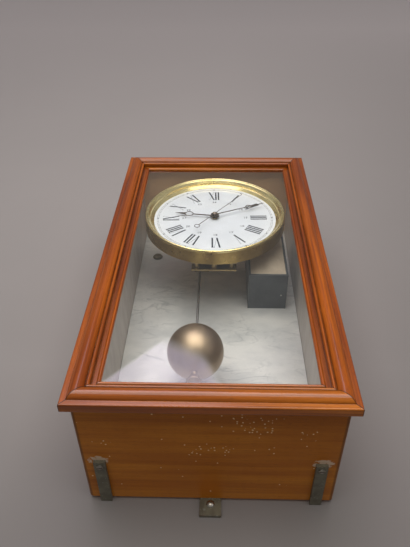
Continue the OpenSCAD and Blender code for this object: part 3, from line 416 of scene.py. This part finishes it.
# %% Windings, paint, card and ebonite
def wound_silk():
    material, tree, place = begin("silk_wound_copper_wire")
    at = add(tree, "ShaderNodeSeparateXYZ", {"Vector": place})
    turns = add(tree, "ShaderNodeMath", {0: at.outputs[2], 1: 2 * math.pi / 0.0006}, operation="MULTIPLY")
    wire = add(tree, "ShaderNodeMath", {0: turns}, operation="SINE")
    shade = add(tree, "ShaderNodeMapRange", {"Value": wire, "From Min": -1.0})
    # The colour follows the same wave: darker between turns as painted shade, paler on each turn's crown as
    # painted highlight.
    colour = layer(tree, "#3a1710", "#7d3a28", shade)
    colour = layer(tree, colour, "#552418", patches(tree, place, 6), 0.35)
    return done(material, tree, relief=(wire, 0.1, 0.5), Base_Color=colour, Roughness=0.45,
                Sheen_Weight=0.3)


def braided_cotton():
    material, tree, place = begin("cotton_braided_over_wire")
    weave = add(tree, "ShaderNodeTexVoronoi", {"Vector": place, "Scale": 1800.0})
    thread = add(tree, "ShaderNodeMapRange", {"Value": weave.outputs["Distance"], "From Max": 0.7})
    colour = layer(tree, "#5f7350", "#2f3c28", thread)
    return done(material, tree, relief=(thread, 0.15, 0.5), Base_Color=colour, Roughness=0.85,
                Sheen_Weight=0.4)


def brushed_box_paint():
    material, tree, place = begin("steel_sheet_painted_blue_grey")
    colour = layer(tree, "#4b5157", "#3e4348", patches(tree, place, 30, 0.35, 0.65, 4.0))
    colour = layer(tree, colour, "#8f928f", arris(tree, 1.4), 0.6)
    low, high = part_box("battery_box")
    chip = add(tree, "ShaderNodeVectorMath",
               {0: place, 1: ((low.x + high.x) / 2 + 0.022, low.y + 0.041, low.z)}, operation="DISTANCE")
    bright = add(tree, "ShaderNodeMath", {0: chip.outputs["Value"], 1: 0.0013}, operation="LESS_THAN")
    colour = layer(tree, colour, "#b4b2aa", bright)
    strokes = patches(tree, place, (26, 26, 1.4), 0.4, 0.6, 3.0)
    return done(material, tree, relief=(strokes, 0.08, 0.3), Base_Color=colour, Roughness=0.38)


def buff_card():
    material, tree, place = begin("card_sleeve_buff")
    fibre = patches(tree, place, (3, 3, 0.8), 0.35, 0.65)
    colour = layer(tree, "#dccbb5", "#c9b8a2", fibre)
    colour = layer(tree, colour, "#a39279", patches(tree, place, 25), 0.35)
    return done(material, tree, relief=(fibre, 0.1, 0.4), Base_Color=colour, Roughness=0.8)


def turned_ebonite():
    material, tree, place = begin("ebonite_turned")
    faded = layer(tree, "#1c1815", "#332a22", patches(tree, place, 8))
    return done(material, tree, Base_Color=faded, Roughness=0.3, Coat_Weight=0.2)


silk, cotton, box_paint = wound_silk(), braided_cotton(), brushed_box_paint()
card, ebonite = buff_card(), turned_ebonite()
print("five small finishes")

# %% [markdown]
# The dial is a copper disc covered in white glass enamel, fired until it flows. It is cool white, very
# smooth, and faintly uneven in tone. Its numerals are black enamel fired on top, thin and a little grey.
# The door glass is 2 mm drawn window glass, nearly colourless, with slow waves in it. Light has to reach
# the dial through it, so rays to a lamp and soft bounce light pass straight through, and the rest is glass.

# %% Enamel, dial paint and window glass
def fired_enamel():
    material, tree, place = begin("enamel_vitreous_white")
    colour = layer(tree, "#f0f3f9", "#e6e9ef", patches(tree, place, 40, 0.35, 0.65, 4.0))
    colour = layer(tree, colour, "#b9b4aa", patches(tree, place, 1.2, 0.68, 0.74), 0.3)
    return done(material, tree, Base_Color=colour, Roughness=0.12, Coat_Weight=0.5, Coat_Roughness=0.05)


def dial_paint():
    material, tree, place = begin("enamel_fired_black_on_dial")
    colour = layer(tree, "#3a3f49", "#23262e", patches(tree, place, 2.0, 0.3, 0.7))
    return done(material, tree, Base_Color=colour, Roughness=0.25)


def drawn_glass():
    material, tree, place = begin("glass_drawn_window")
    waves = add(tree, "ShaderNodeBump", {"Height": patches(tree, place, (60, 60, 140), 0.2, 0.8, 1.0),
                                         "Distance": 0.00002, "Strength": 0.1})
    pane = add(tree, "ShaderNodeBsdfPrincipled", {"Base Color": "#fefffe", "Roughness": 0.0, "IOR": 1.5,
                                                  "Transmission Weight": 1.0, "Normal": waves})
    clear = add(tree, "ShaderNodeBsdfTransparent", {"Color": "#fdfefd"})
    ray = add(tree, "ShaderNodeLightPath")
    passed = add(tree, "ShaderNodeMath", {0: ray.outputs["Is Shadow Ray"], 1: ray.outputs["Is Diffuse Ray"]},
                 operation="MAXIMUM")
    both = add(tree, "ShaderNodeMixShader", {0: passed, 1: pane, 2: clear})
    add(tree, "ShaderNodeOutputMaterial", {"Surface": both})
    return material


enamel, numeral_black, glass = fired_enamel(), dial_paint(), drawn_glass()
print("white enamel, black enamel and glass")

# %% [markdown]
# Each part of the frame names the finish it was planned with. Most take one finish for that name. The
# wooden parts need their grain turned to suit each board, so they are listed one by one, and so are the
# drum and the brass parts behind the dial, whose brass is darker than the bezel's as painted shade; the
# parts behind the dial are duller than the drum too.

# %% Give every part its finish
by_slot = {
    "pine": pine, "marble": marble, "dark_brass": dark_brass, "iron": iron, "screw_steel": screw_steel,
    "brass": brass, "steel": steel, "enamel": enamel, "coil_silk": silk, "ebonite": ebonite,
    "box_paint": box_paint, "battery_card": card, "wire_cover": cotton, "glass": glass,
    "rod_steel": rod_steel, "ball_brass": ball_brass, "hand_steel": hand_steel,
}
by_part = {
    "case_side_left": case_side, "case_side_right": case_side, "case_top": case_head,
    "case_bottom": case_foot, "door_stile_left": door_upright, "door_stile_right": door_upright,
    "door_rail_top": door_level, "door_rail_bottom": door_level, "glass_beads": door_upright,
    "dial_drum": drum_brass_shaded, "movement_front_plate": dull_brass_shaded, "movement_back_plate": dull_brass_shaded,
    "plate_pillars": dull_brass_shaded, "movement_arms": dull_brass_shaded, "suspension_cock": dull_brass_shaded,
    "pawl_arm": dull_brass_shaded, "hour_wheel": dull_brass_shaded,
}
for part in frame["record"]["subparts"]:
    node = frame["nodes"][part["node"]]
    finish = by_part.get(part["node"]) or by_slot[part["material_slot"]]
    for number in range(len(node.data.materials)):
        node.data.materials[number] = finish
bpy.ops.object.select_all(action="DESELECT")

# %% [markdown]
# The dial's numerals are Roman, their feet to the centre, with IIII for four as clock dials have it.
# They could be drawn with a font, but a dial painter builds them from strokes: a wide stem, a hairline,
# and leaning strokes for V and X, each flared at its ends. So each stroke is modelled once from a plane,
# cut near its ends, flared and given a thickness of fired enamel, and then copied into the numerals.

# %% Strokes of the numerals
dial_low, dial_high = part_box("enamel_dial")
centre = (dial_low + dial_high) / 2
face = dial_low.y
dial_r = (dial_high.x - dial_low.x) / 2
FOOT, HEAD, TRACK, FIGURES = (dial_r * share for share in (0.578, 0.840, 0.924, 0.498))
upright = Matrix.Translation((centre.x, face, centre.z)) @ Matrix.Rotation(math.pi / 2, 4, "X")
on_dial = upright @ Matrix.Rotation(math.radians(1.5), 4, "Z")


def pick(piece, test):
    """Selects, in edit mode, the points of a piece whose place passes a test."""
    bpy.ops.mesh.select_all(action="DESELECT")
    bpy.ops.object.mode_set(mode="OBJECT")
    for point in piece.data.vertices:
        point.select = test(point.co)
    bpy.ops.object.mode_set(mode="EDIT")


def thicken(height):
    """Pulls the flat shape being edited up into a solid, with its faces outwards."""
    bpy.ops.mesh.select_all(action="SELECT")
    bpy.ops.mesh.extrude_region_move(TRANSFORM_OT_translate={"value": (0, 0, height)})
    bpy.ops.mesh.select_all(action="SELECT")
    bpy.ops.mesh.normals_make_consistent(inside=False)
    bpy.ops.object.mode_set(mode="OBJECT")


def stroke(name, width, lean, flare, height):
    """A stroke from the numeral's foot to its head, leaning by its head's shift from its foot."""
    middle = (FOOT + HEAD) / 2
    bpy.ops.mesh.primitive_plane_add(size=1, location=(0, 0, 0))
    piece = bpy.context.object
    piece.name = name
    bpy.ops.object.mode_set(mode="EDIT")
    bpy.ops.transform.resize(value=(width, HEAD - FOOT, 1), center_override=(0, 0, 0))
    bpy.ops.transform.translate(value=(0, middle, 0))
    for side in (-1, 1):
        pick(piece, lambda at: (at.y - middle) * side > 0)
        bpy.ops.transform.translate(value=(side * lean / 2, 0, 0))
    for cut in (FOOT + 0.0009, HEAD - 0.0009):
        bpy.ops.mesh.select_all(action="SELECT")
        bpy.ops.mesh.bisect(plane_co=(0, cut, 0), plane_no=(0, 1, 0))
    for side, end in ((-1, FOOT), (1, HEAD)):
        pick(piece, lambda at: abs(at.y - end) < 1e-5)
        bpy.ops.transform.resize(value=(flare / width, 1, 1), center_override=(side * lean / 2, end, 0))
    thicken(height)
    return piece


strokes = {
    "stem": stroke("stem", 0.0025, 0, 0.0040, 0.00012),
    "down": stroke("down", 0.0025, -0.0080, 0.0040, 0.00012),
    "up": stroke("up", 0.0004, 0.0080, 0.0026, 0.00009),
    "short_down": stroke("short_down", 0.0025, -0.0042, 0.0030, 0.00012),
    "short_up": stroke("short_up", 0.0004, 0.0042, 0.0021, 0.00009),
}
print("five strokes, from", FOOT * 1000, "to", HEAD * 1000, "mm from the centre")

# %% [markdown]
# A letter takes its strokes at its own places, and a numeral sets its letters side by side about the
# hour's line. Each copy gets its own mesh, is moved along, and is turned clockwise to its hour.

# %% Set the twelve numerals
LETTERS = {"I": (0.0046, [("stem", 0.0)]),
           "V": (0.0098, [("short_down", -0.0021), ("short_up", 0.0021)]),
           "X": (0.0100, [("down", 0.0), ("up", 0.0)])}
HOURS = ["I", "II", "III", "IIII", "V", "VI", "VII", "VIII", "IX", "X", "XI", "XII"]
copies = []
for hour, word in enumerate(HOURS, start=1):
    start = -sum(LETTERS[letter][0] for letter in word) / 2
    turn = Matrix.Rotation(-math.radians(30 * hour), 4, "Z")
    for letter in word:
        room, parts = LETTERS[letter]
        for kind, shift in parts:
            copy = strokes[kind].copy()
            copy.data = strokes[kind].data.copy()
            bpy.context.scene.collection.objects.link(copy)
            copy.data.transform(on_dial @ turn @ Matrix.Translation((start + room / 2 + shift, 0, 0)))
            copies.append(copy)
        start += room
for pattern in strokes.values():
    bpy.data.objects.remove(pattern)


def joined(pieces, name, body, finish):
    """Joins pieces into one with a finish, riding on a body of the clock."""
    bpy.ops.object.select_all(action="DESELECT")
    for piece in pieces:
        piece.select_set(True)
    bpy.context.view_layer.objects.active = pieces[0]
    if len(pieces) > 1:
        bpy.ops.object.join()
    piece = bpy.context.view_layer.objects.active
    piece.name = piece.data.name = name
    piece.data.materials.clear()
    piece.data.materials.append(finish)
    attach(piece, body)
    bpy.ops.object.select_all(action="DESELECT")
    return piece


numerals = joined(copies, "dial_hour_numerals", "case", numeral_black)
print(len(copies), "strokes in the hour numerals,", len(numerals.data.polygons), "faces")

# %% [markdown]
# Outside the numerals runs the minute track: two fine rings with a short line for each minute and a
# larger dot at each hour. A ring is a circle whose edge is pulled outwards. A minute line is one plane,
# made narrow, that a spin with duplicates sets round the dial sixty times.

# %% Minute track
def ring(name, inner, width):
    bpy.ops.mesh.primitive_circle_add(vertices=180, radius=inner, fill_type="NOTHING")
    piece = bpy.context.object
    piece.name = name
    bpy.ops.object.mode_set(mode="EDIT")
    bpy.ops.mesh.extrude_region_move(TRANSFORM_OT_translate={"value": (0, 0, 0)})
    grow = (inner + width) / inner
    bpy.ops.transform.resize(value=(grow, grow, 1), center_override=(0, 0, 0))
    thicken(0.00008)
    return piece


def round_the_dial(piece, count):
    """Sets copies of the shape being edited evenly round the dial's centre."""
    bpy.ops.mesh.select_all(action="SELECT")
    bpy.ops.mesh.spin(steps=count - 1, dupli=True, angle=2 * math.pi * (count - 1) / count,
                      center=(0, 0, 0), axis=(0, 0, 1))
    bpy.ops.object.mode_set(mode="OBJECT")
    return piece


def minute_line():
    bpy.ops.mesh.primitive_plane_add(size=1, location=(0, 0, 0))
    piece = bpy.context.object
    bpy.ops.object.mode_set(mode="EDIT")
    bpy.ops.transform.resize(value=(0.00035, 0.0022, 1), center_override=(0, 0, 0))
    bpy.ops.transform.translate(value=(0, TRACK, 0))
    thicken(0.00010)
    bpy.ops.object.mode_set(mode="EDIT")
    return round_the_dial(piece, 60)


def hour_dot():
    bpy.ops.mesh.primitive_circle_add(vertices=12, radius=0.0012, fill_type="NGON", location=(0, 0, 0))
    piece = bpy.context.object
    bpy.ops.object.mode_set(mode="EDIT")
    bpy.ops.transform.translate(value=(0, TRACK, 0))
    thicken(0.00014)
    bpy.ops.object.mode_set(mode="EDIT")
    return round_the_dial(piece, 12)


track = [ring("ring_inner", TRACK - 0.0013, 0.0003), ring("ring_outer", TRACK + 0.0011, 0.0003),
         minute_line(), hour_dot()]
for piece in track:
    piece.data.transform(on_dial)
track = joined(track, "dial_minute_track", "case", numeral_black)
print("minute track with", len(track.data.polygons), "faces")

# %% [markdown]
# Inside the numerals small upright figures count the hours after noon, 13 to 24. At 5 mm high a plain
# font does for them. Each is typed as a text object, made a mesh, and only then set at its place.

# %% Small afternoon figures
figures = []
for hour in range(1, 13):
    bpy.ops.object.text_add(location=(0, 0, 0))
    figure = bpy.context.object
    figure.data.body = str(hour + 12)
    figure.data.size = 0.0072
    figure.data.extrude = 0.00005
    figure.data.resolution_u = 3
    figure.data.align_x = "CENTER"
    figure.data.align_y = "CENTER"
    bpy.ops.object.convert(target="MESH")
    figure = bpy.context.object
    angle = math.radians(30 * hour)
    spot = Matrix.Translation((FIGURES * math.sin(angle), FIGURES * math.cos(angle), 0.00005))
    figure.data.transform(on_dial @ spot)
    figures.append(figure)
figures = joined(figures, "dial_afternoon_figures", "case", numeral_black)
print("twelve figures with", len(figures.data.polygons), "faces")

# %% [markdown]
# The stage is one sheet of grey paper under the clock's back. It shows only from the front, so that
# the clock's back can be looked at too, and lets the back lamp's light through to the back board.
# The light in the room fell off to the right and towards the camera, so the paper darkens that way, and it
# is a little paler far up. Each of these fades is an axis, where it starts and ends, and its colour.

# %% Paper under the clock
bpy.ops.mesh.primitive_plane_add(size=1, location=(0, 0, 0))
paper = bpy.context.object
paper.name = "paper"
bpy.ops.object.mode_set(mode="EDIT")
bpy.ops.transform.resize(value=(14, 14, 1), center_override=(0, 0, 0))
bpy.ops.mesh.subdivide(number_cuts=3)
bpy.ops.object.mode_set(mode="OBJECT")
paper.data.transform(Matrix.Translation((0, 0.001, 2.5)) @ Matrix.Rotation(math.pi / 2, 4, "X"))
sheet, tree, place = begin("paper_seamless_grey")
at = add(tree, "ShaderNodeSeparateXYZ", {"Vector": place})
tone = layer(tree, "#98928f", "#928d8a", patches(tree, place, 400, 0.3, 0.7))
FADES = (0, 0.05, 0.8, "#5e5956"), (2, -0.3, 1.7, "#bab2ae"), (2, -0.35, -0.95, "#5c5754")
for axis, start, end, shade in FADES:
    fade = add(tree, "ShaderNodeMapRange", {"Value": at.outputs[axis], "From Min": start, "From Max": end})
    tone = layer(tree, tone, shade, fade)
matt = add(tree, "ShaderNodeBsdfPrincipled", {"Base Color": tone, "Roughness": 0.9})
away = add(tree, "ShaderNodeBsdfTransparent", {"Color": "#ffffff"})
behind = add(tree, "ShaderNodeNewGeometry").outputs["Backfacing"]
ray = add(tree, "ShaderNodeLightPath")
gone = add(tree, "ShaderNodeMath", {0: behind, 1: ray.outputs["Is Shadow Ray"]}, operation="MAXIMUM")
shown = add(tree, "ShaderNodeMixShader", {0: gone, 1: matt, 2: away})
add(tree, "ShaderNodeOutputMaterial", {"Surface": shown})
paper.data.materials.append(sheet)
print("paper faces", [round(v, 2) for v in paper.data.polygons[0].normal])

# %% [markdown]
# The room had one broad lamp in front of the clock and a pale wall or window behind the camera. The lamp
# gives the door its bright edges and the ball its highlight. It is wide rather than strong, so that the
# door glass mirrors it only faintly. The window shows in the glass as a soft lilac veil over the lower
# left, so it is part of the world: the directions between two slanting edges, each a plane through the
# eye, are brighter. A weak strip at the right gives the ball a second, fainter light.
# A weak lamp behind the paper lights only the clock's back. The rest of the world is light overhead and
# dark at the horizon, so that brass has both to mirror.

# %% Lamps and studio light
def softbox(name, middle, aim, up, width, height, radiance, colour="#ffffff"):
    lamp = bpy.data.lights.new(name, "AREA")
    lamp.shape = "RECTANGLE"
    lamp.size, lamp.size_y = width, height
    lamp.energy = 4 * radiance * width * height
    lamp.color = linear(colour)[:3]
    box = bpy.data.objects.new(name, lamp)
    bpy.context.scene.collection.objects.link(box)
    back = (Vector(middle) - Vector(aim)).normalized()
    across = Vector(up).cross(back).normalized()
    turn = Matrix((across, back.cross(across), back)).transposed().to_4x4()
    box.matrix_world = Matrix.Translation(middle) @ turn
    box.visible_camera = False
    return box


softbox("softbox_front", (0.0, -1.5, -0.36), (0.0, 0, -0.3), (0, 0, 1), 1.3, 1.3, 2.4, "#fffcf8")
softbox("strip_low_right", (1.37, -0.79, -0.9), (0, -0.1, -0.42), (0, 0, 1), 0.35, 0.9, 0.9, "#f4f2ff")
softbox("lamp_behind", (0, 1.6, -0.3), (0, 0, -0.3), (0, 0, 1), 2.0, 2.0, 0.5)

BEHIND, ROOM, WINDOW, BACKDROP = 0.07, 0.42, 3.2, 0.55
world = bpy.data.worlds.new("studio")
bpy.context.scene.world = world
world.use_nodes = True
tree = world.node_tree
tree.nodes.clear()
towards = add(tree, "ShaderNodeTexCoord").outputs["Generated"]
axis = add(tree, "ShaderNodeSeparateXYZ", {"Vector": towards})
light = add(tree, "ShaderNodeMapRange",
            {"Value": axis.outputs[1], "From Min": 0.1, "From Max": -1.0, "To Min": BEHIND, "To Max": ROOM})
apex, shoulder = Vector((-0.092, -0.690, 0.718)), Vector((-0.020, -0.713, 0.701))
left, foot = Vector((-0.198, -0.732, 0.652)), Vector((0.012, -0.758, 0.653))
veil = 1.0
for side, soft in ((apex.cross(left), 0.008), (shoulder.cross(apex), 0.03), (foot.cross(shoulder), 0.02),
                   (Vector((0, 0, 1)), 0.6)):
    off = add(tree, "ShaderNodeVectorMath", {0: towards, 1: side.normalized()}, operation="DOT_PRODUCT")
    share = add(tree, "ShaderNodeMapRange",
                {"Value": off.outputs["Value"], "From Min": 0.0, "From Max": soft},
                interpolation_type="SMOOTHSTEP")
    veil = add(tree, "ShaderNodeMath", {0: veil, 1: share}, operation="MULTIPLY")
light = add(tree, "ShaderNodeMath", {0: veil, 1: WINDOW, 2: light}, operation="MULTIPLY_ADD")
seen = add(tree, "ShaderNodeLightPath").outputs["Is Camera Ray"]
strength = add(tree, "ShaderNodeMix", {0: seen, 2: light, 3: BACKDROP}).outputs[0]
tint = layer(tree, "#fbfaf8", "#e6dcf0", veil)
sky = add(tree, "ShaderNodeBackground", {"Color": tint, "Strength": strength})
add(tree, "ShaderNodeOutputWorld", {"Surface": sky})
bpy.context.scene.view_settings.view_transform = "Standard"
print("a front lamp, a low strip, a back lamp and a soft world")
